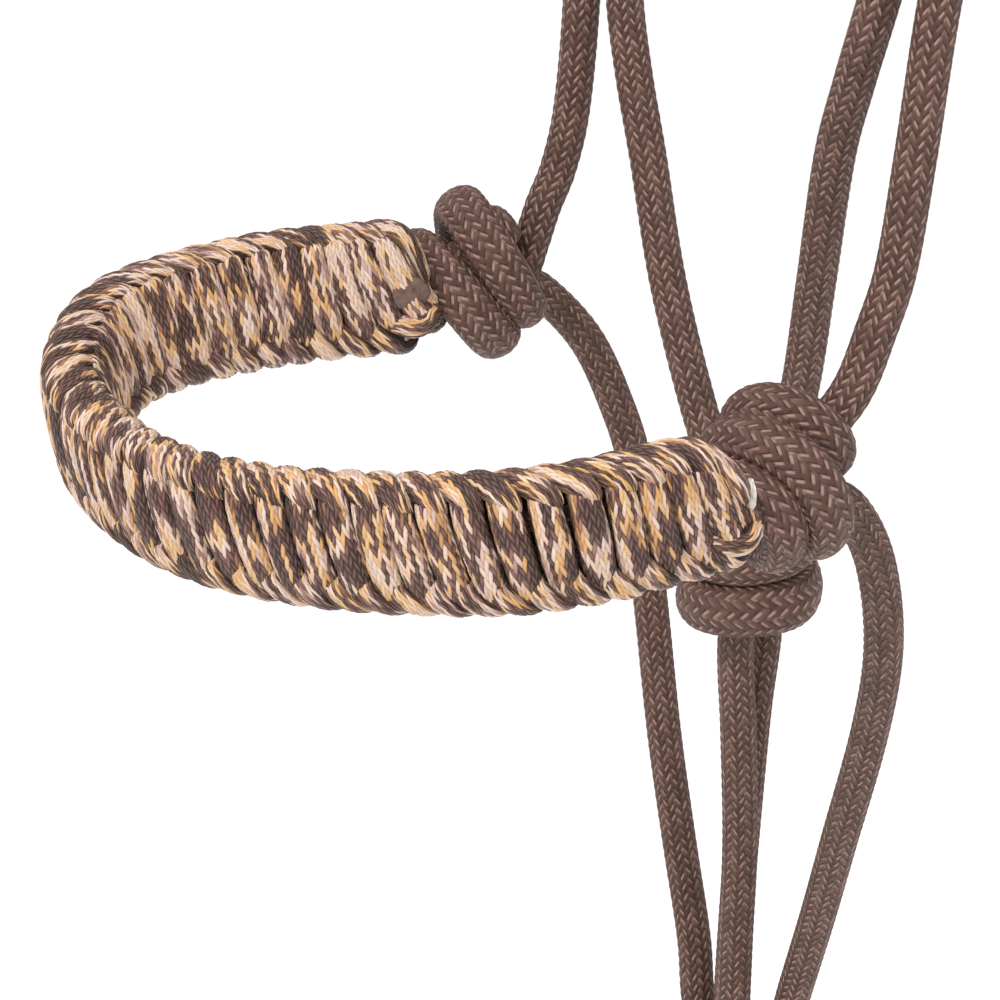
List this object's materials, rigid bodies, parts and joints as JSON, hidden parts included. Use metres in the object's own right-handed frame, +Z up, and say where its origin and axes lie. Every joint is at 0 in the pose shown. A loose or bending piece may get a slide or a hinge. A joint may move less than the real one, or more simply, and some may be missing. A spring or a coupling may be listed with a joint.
{
  "type": "rope halter",
  "caption": "Knotted rope horse halter with a woven accessory-cord noseband, cheek, throat and chin strands, a fiador knot, lead loops and a crown tied at the left.",
  "frame": {"origin": "where the underside of the crown rests on the poll, midway between the horse's ears", "axes": "+Z up, +X towards the horse's left, -Y towards the horse's nose"},
  "size_m": [0.1257, 0.1317, 0.5299],
  "materials": {
    "rope": "matt brown braided polyester rope with paler ticks",
    "cord": "space-dyed nylon accessory cord in brown, tan, gold and pale pink, with a slight sheen",
    "melted": "melted and hardened cord or rope end"
  },
  "bodies": {
    "crown": {"crown_strand_front": "rope", "crown_strand_rear": "rope", "tie_loop_leg_front": "rope", "tie_loop_leg_rear": "rope", "tie_knot": "rope", "throat_knot_left": "rope", "throat_knot_right": "rope"},
    "head": {"cheek_strand_left": "rope", "cheek_strand_right": "rope", "throat_strand_left": "rope", "throat_strand_right": "rope", "jaw_strand_front": "rope", "jaw_strand_rear": "rope", "chin_strand_left": "rope", "chin_strand_right": "rope", "nose_knot_left": "rope", "nose_knot_right": "rope", "jaw_knot": "rope", "fiador_knot": "rope"},
    "noseband": {"noseband_core_upper": "rope", "noseband_core_lower": "rope", "noseband_weave_outer": "cord", "noseband_weave_inner": "cord", "noseband_ridge_upper": "cord", "noseband_ridge_lower": "cord", "noseband_cord_end_left": "melted", "noseband_cord_end_right": "melted"},
    "lead_loop_left": {"lead_loop_left": "rope"},
    "lead_loop_right": {"lead_loop_right": "rope"},
    "tails": {"crown_tail_front": "rope", "crown_tail_rear": "rope", "tail_tip_front": "melted", "tail_tip_rear": "melted"}
  },
  "joints": [
    {"name": "head_swing", "type": "hinge", "parent": "crown", "child": "head", "pos_m": [0, -0.002, -0.186], "axis": [1, 0, 0], "range_deg": [-25, 25]},
    {"name": "noseband_tilt", "type": "hinge", "parent": "head", "child": "noseband", "pos_m": [0, -0.027, -0.295], "axis": [1, 0, 0], "range_deg": [-25, 35]},
    {"name": "lead_loop_left_swing", "type": "hinge", "parent": "head", "child": "lead_loop_left", "pos_m": [0, 0.001, -0.449], "axis": [1, 0, 0], "range_deg": [-60, 60]},
    {"name": "lead_loop_right_swing", "type": "hinge", "parent": "head", "child": "lead_loop_right", "pos_m": [0, 0.001, -0.449], "axis": [1, 0, 0], "range_deg": [-60, 60]},
    {"name": "tail_swing", "type": "hinge", "parent": "crown", "child": "tails", "pos_m": [0, -0.001, -0.1], "axis": [1, 0, 0], "range_deg": [-60, 60]}
  ]
}
